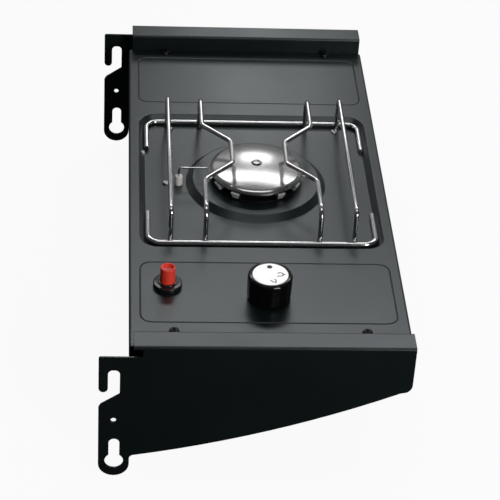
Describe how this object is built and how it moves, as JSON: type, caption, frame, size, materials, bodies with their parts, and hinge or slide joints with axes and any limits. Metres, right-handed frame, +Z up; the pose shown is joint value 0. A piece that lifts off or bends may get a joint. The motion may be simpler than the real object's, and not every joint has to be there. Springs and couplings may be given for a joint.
{
  "type": "gas side burner",
  "caption": "Hang-on side burner table with a round gas burner, wire pot grate, control knob and push-button igniter between two folded end brackets.",
  "frame": {"origin": "midway between the front and rear hook slots, at their upper ends, where the part hangs on its cart", "axes": "+X away from the cart, +Y from the knob end to the rear bracket, +Z up"},
  "size_m": [0.3006, 0.6, 0.1771],
  "materials": {
    "satin_enamel": "satin dark grey enamel",
    "chrome_wire": "bright chrome plating",
    "polished_steel": "polished stainless steel",
    "cast_aluminium": "as cast",
    "zinc": "zinc plated",
    "black_screw": "black oxide",
    "white_ceramic": "smooth white",
    "red_plastic": "gloss red",
    "black_plastic": "gloss black",
    "dial_face": "matte silver white",
    "brass": "machined",
    "lead_rubber": "matte black"
  },
  "bodies": {
    "table": {"air_shutter": "zinc", "burner_body": "cast_aluminium", "burner_cap": "polished_steel", "burner_head": "cast_aluminium", "burner_strap": "zinc", "cap_rivet": "polished_steel", "electrode_boot": "lead_rubber", "electrode_clip": "zinc", "electrode_insulator": "white_ceramic", "electrode_screw": "zinc", "electrode_wire": "polished_steel", "front_bracket": "satin_enamel", "head_screw_1": "zinc", "head_screw_2": "zinc", "igniter_barrel": "black_plastic", "igniter_bezel": "black_plastic", "igniter_boot": "lead_rubber", "igniter_nut": "black_plastic", "igniter_spring": "zinc", "ignition_lead": "lead_rubber", "injector": "brass", "inlet_fitting": "brass", "lead_clip": "black_plastic", "lug_bolt": "zinc", "piezo_unit": "white_ceramic", "plate_nut_1": "zinc", "plate_nut_2": "zinc", "plate_nut_3": "zinc", "plate_nut_4": "zinc", "plate_screw_1": "black_screw", "plate_screw_2": "black_screw", "plate_screw_3": "black_screw", "plate_screw_4": "black_screw", "rear_bracket": "satin_enamel", "strap_nut_1": "zinc", "strap_nut_2": "zinc", "strap_nut_3": "zinc", "strap_screw_1": "zinc", "strap_screw_2": "zinc", "top_plate": "satin_enamel", "valve_body": "brass", "valve_bonnet": "brass", "valve_screw_1": "zinc", "valve_screw_2": "zinc"},
    "grate": {"grate_front_wire": "chrome_wire", "grate_rear_wire": "chrome_wire", "grate_rod_inner_left": "chrome_wire", "grate_rod_inner_right": "chrome_wire", "grate_rod_left": "chrome_wire", "grate_rod_right": "chrome_wire"},
    "igniter_button": {"igniter_button": "red_plastic"},
    "valve_plug": {"valve_plug": "brass", "valve_spring": "zinc"},
    "knob": {"knob": "black_plastic", "knob_dial": "dial_face", "valve_stem": "brass"}
  },
  "joints": [
    {"name": "grate_lift", "type": "slide", "parent": "table", "child": "grate", "axis": [0, 0, 1], "range_m": [0, 0.06]},
    {"name": "igniter_press", "type": "slide", "parent": "table", "child": "igniter_button", "axis": [0, 0, -1], "range_m": [0, 0.008], "stiffness_N_per_m": 600, "springref_m": -0.004, "deforming": ["igniter_spring"]},
    {"name": "knob_turn", "type": "hinge", "parent": "table", "child": "valve_plug", "pos_m": [0.151, -0.1965, 0.0095], "axis": [0, 0, 1], "range_deg": [0, 165]},
    {"name": "knob_push", "type": "slide", "parent": "valve_plug", "child": "knob", "axis": [0, 0, -1], "range_m": [0, 0.002], "stiffness_N_per_m": 1500, "springref_m": -0.003, "deforming": ["valve_spring"]}
  ]
}
